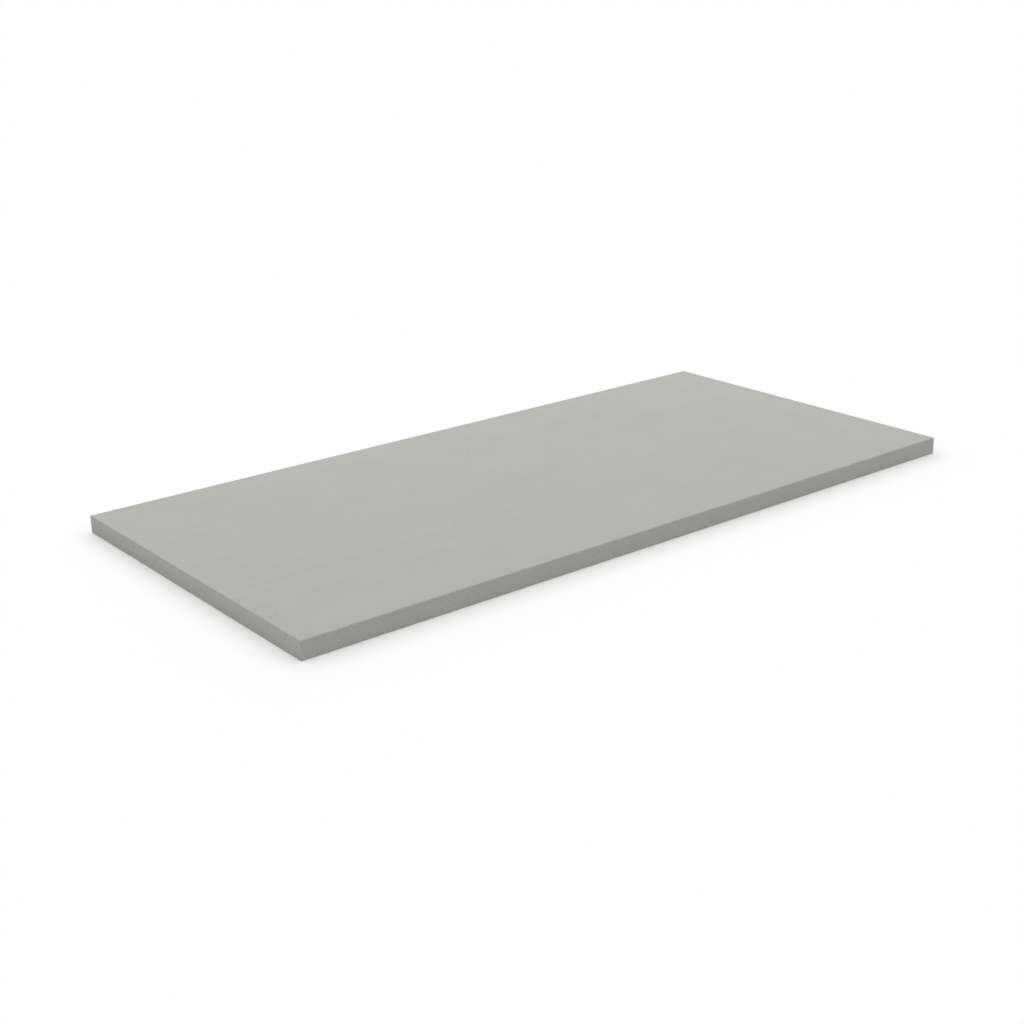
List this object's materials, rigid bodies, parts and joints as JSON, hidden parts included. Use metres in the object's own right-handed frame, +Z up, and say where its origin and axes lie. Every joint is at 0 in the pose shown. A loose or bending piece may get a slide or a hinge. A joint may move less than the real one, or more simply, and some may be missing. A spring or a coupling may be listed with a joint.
{
  "type": "plasterboard sheet",
  "caption": "Flat rectangular sheet of thick plasterboard with square liner-bound long edges and square-cut ends, for lining walls, ceilings and floors.",
  "frame": {"origin": "under the middle of the back face, on the level that the sheet lies on", "axes": "+X along the two bound long edges, +Y across the sheet, +Z up through its thickness from the back liner to the face liner"},
  "size_m": [1.25, 0.6, 0.028],
  "materials": {
    "board": "matte"
  },
  "bodies": {
    "root": {"plasterboard": "board"}
  },
  "joints": []
}
